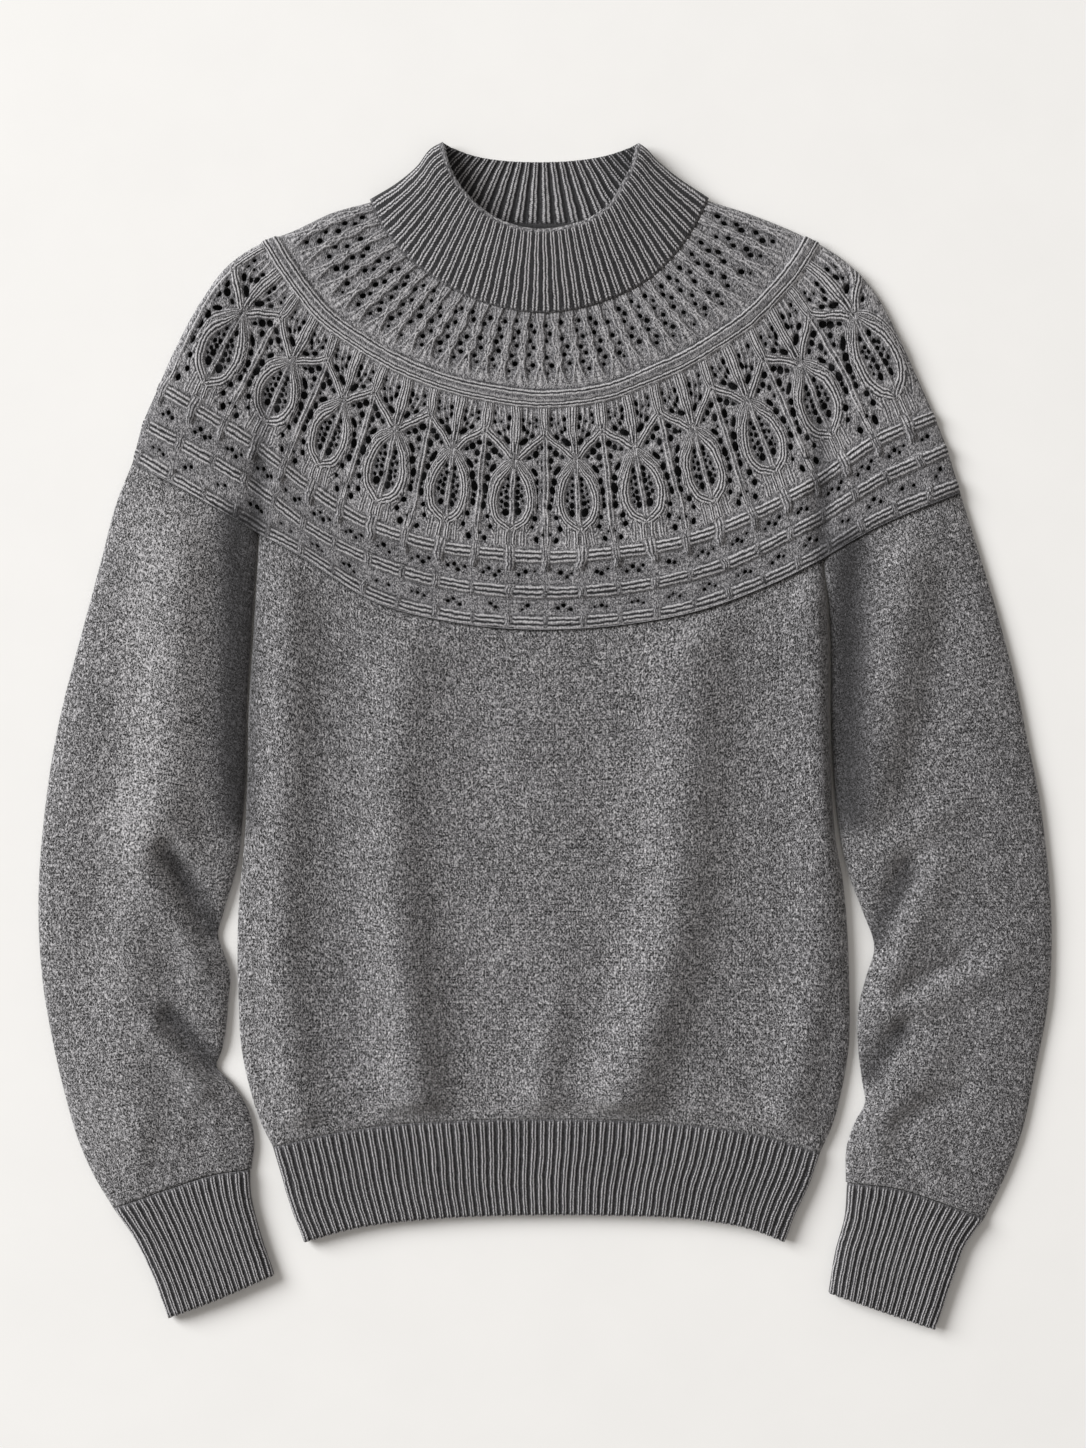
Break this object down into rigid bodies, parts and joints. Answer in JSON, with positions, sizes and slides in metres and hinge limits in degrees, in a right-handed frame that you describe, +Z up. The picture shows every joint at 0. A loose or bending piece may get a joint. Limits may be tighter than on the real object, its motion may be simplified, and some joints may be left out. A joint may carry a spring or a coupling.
{
  "type": "pointelle-yoke sweater",
  "caption": "Long-sleeved knitted sweater laid flat, with a ribbed mock neck, a round openwork lace yoke with raised welts, and a ribbed hem and cuffs.",
  "frame": {"origin": "centre of the bounding box in plan, on the surface that the sweater lies on", "axes": "+Y from the hem towards the neck, +Z up out of the front of the garment, +X towards the sleeve at the right of the picture"},
  "size_m": [0.7112, 0.8302, 0.0201],
  "materials": {
    "rib_knit": "mid-grey heathered wool rib, matt, with bright stitch lines over dark furrows",
    "lace_knit": "mid-grey heathered wool in openwork lace stitches, matt and slightly fuzzy",
    "heather_knit": "mid-grey heathered wool, brushed, matt and slightly fuzzy"
  },
  "bodies": {
    "root": {"collar": "rib_knit", "yoke_front": "lace_knit", "yoke_back": "lace_knit", "body_front": "heather_knit", "body_back": "heather_knit", "sleeve_left": "heather_knit", "sleeve_right": "heather_knit", "hem_rib": "rib_knit", "cuff_left": "rib_knit", "cuff_right": "rib_knit"}
  },
  "joints": []
}
